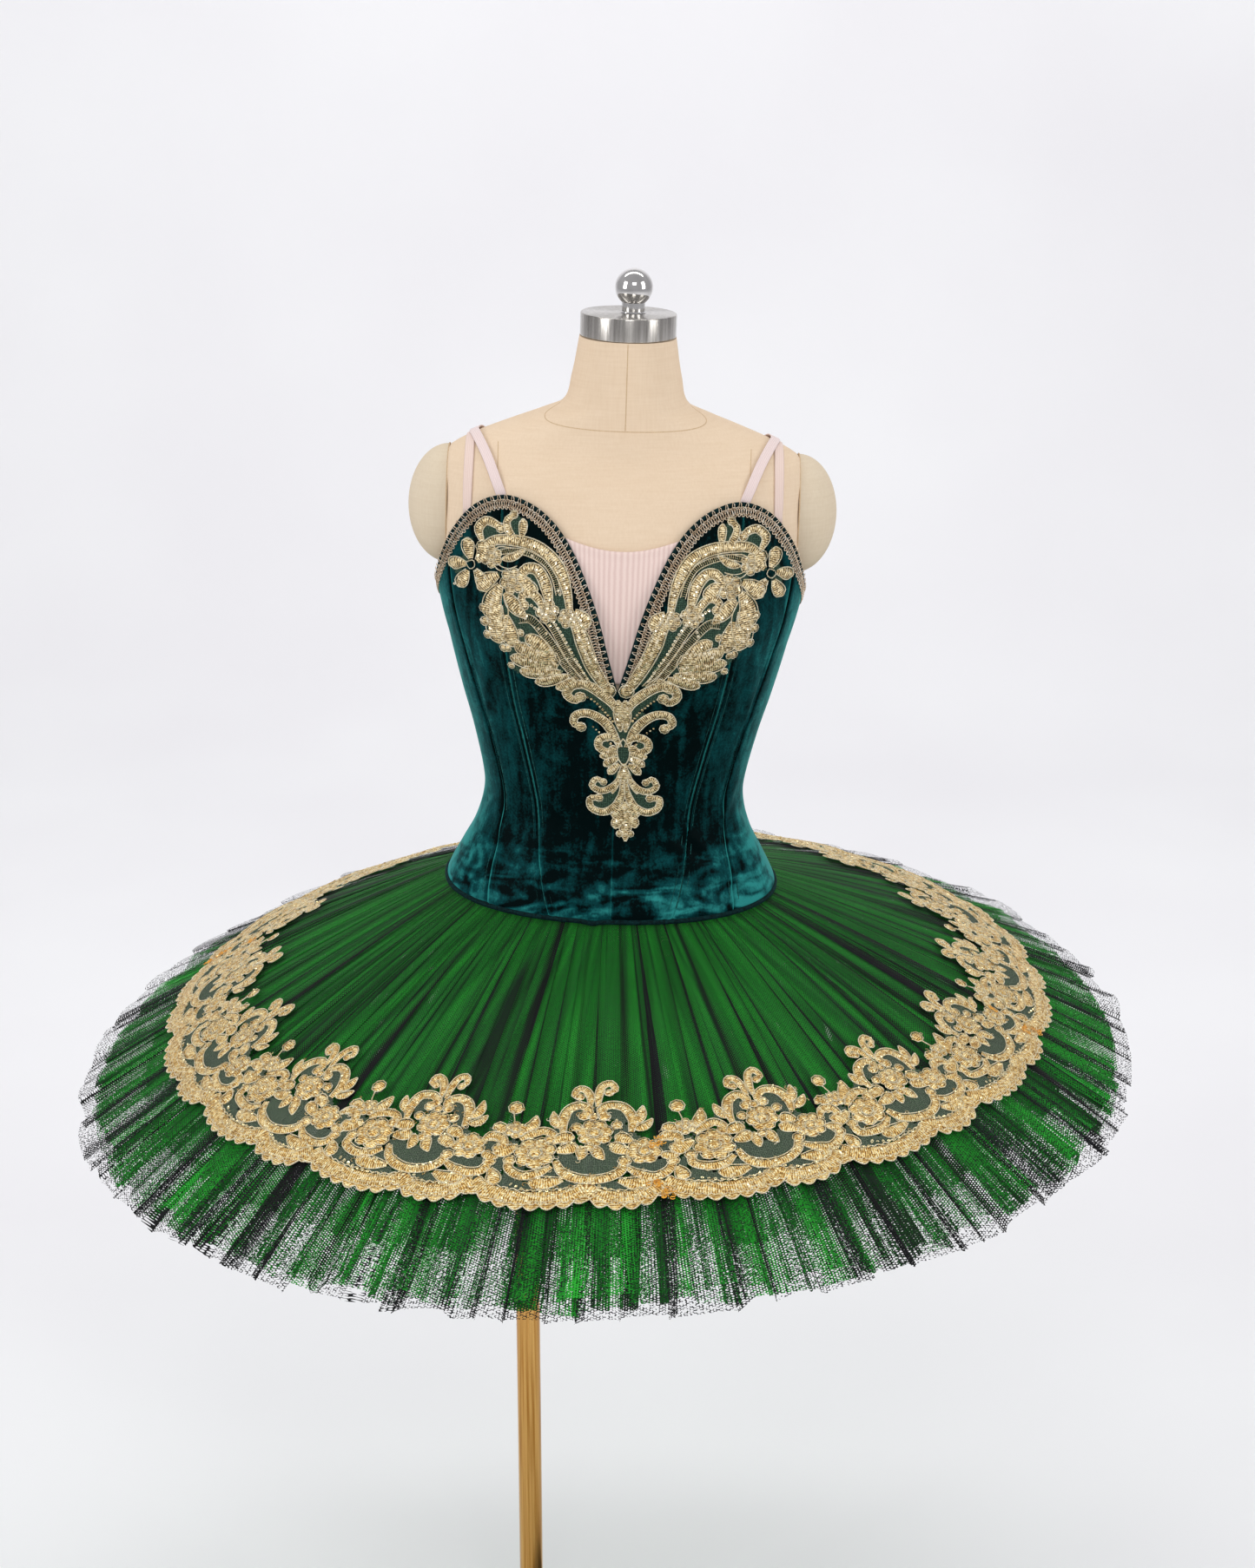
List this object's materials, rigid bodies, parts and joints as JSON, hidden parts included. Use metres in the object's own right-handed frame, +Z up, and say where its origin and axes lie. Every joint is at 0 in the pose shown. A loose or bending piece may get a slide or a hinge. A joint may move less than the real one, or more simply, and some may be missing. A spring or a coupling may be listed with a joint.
{
  "type": "ballet tutu on a dress form",
  "caption": "Ballet tutu with a boned velvet bodice, pleated net skirt and gold lace band, worn by a limbless dress form on a pole and round base.",
  "frame": {"origin": "centre of the round base's underside, on the floor", "axes": "+Z up the pole; the front of the bodice faces -Y; +X is the right side of the picture, the wearer's left"},
  "size_m": [1.0162, 1.015, 1.5261],
  "materials": {
    "linen": "matt woven linen over a hard shell",
    "linen_grey": "matt woven linen over a hard shell",
    "brushed_steel": "brushed",
    "polished_steel": "polished",
    "brass": "brushed",
    "black_plate": "satin paint",
    "teal_velvet": "crushed velvet",
    "pale_pink_mesh": "fine ribbed mesh",
    "champagne_lace": "corded metallic lace",
    "gold_lace": "corded metallic lace with sequins",
    "black_net": "soft hexagonal net",
    "green_net": "stiff hexagonal net",
    "green_knit": "plain matt knit"
  },
  "bodies": {
    "root": {"bodice_back_left": "teal_velvet", "bodice_back_right": "teal_velvet", "bodice_back_side_left": "teal_velvet", "bodice_back_side_right": "teal_velvet", "bodice_front_left": "teal_velvet", "bodice_front_right": "teal_velvet", "bodice_front_side_left": "teal_velvet", "bodice_front_side_right": "teal_velvet", "bodice_side_left": "teal_velvet", "bodice_side_right": "teal_velvet", "braid_left": "champagne_lace", "braid_right": "champagne_lace", "form_arm_cap_left": "linen_grey", "form_arm_cap_right": "linen_grey", "form_finial": "polished_steel", "form_neck_cap": "brushed_steel", "form_torso": "linen", "knickers_back": "green_knit", "knickers_front": "green_knit", "lace_band_1": "gold_lace", "lace_band_2": "gold_lace", "lace_band_3": "gold_lace", "lace_band_4": "gold_lace", "lace_motif_centre": "champagne_lace", "lace_motif_left": "champagne_lace", "lace_motif_right": "champagne_lace", "neckline_inset": "pale_pink_mesh", "skirt_net_green_lower_back": "green_net", "skirt_net_green_lower_front": "green_net", "skirt_net_green_lower_left": "green_net", "skirt_net_green_lower_right": "green_net", "skirt_net_green_middle_back": "green_net", "skirt_net_green_middle_front": "green_net", "skirt_net_green_middle_left": "green_net", "skirt_net_green_middle_right": "green_net", "skirt_net_green_top_back": "green_net", "skirt_net_green_top_front": "green_net", "skirt_net_green_top_left": "green_net", "skirt_net_green_top_right": "green_net", "skirt_net_overlay_back": "black_net", "skirt_net_overlay_front": "black_net", "skirt_net_overlay_left": "black_net", "skirt_net_overlay_right": "black_net", "stand_base": "black_plate", "stand_pole": "brass", "strap_inner_left": "pale_pink_mesh", "strap_inner_right": "pale_pink_mesh", "strap_outer_left": "pale_pink_mesh", "strap_outer_right": "pale_pink_mesh"}
  },
  "joints": []
}
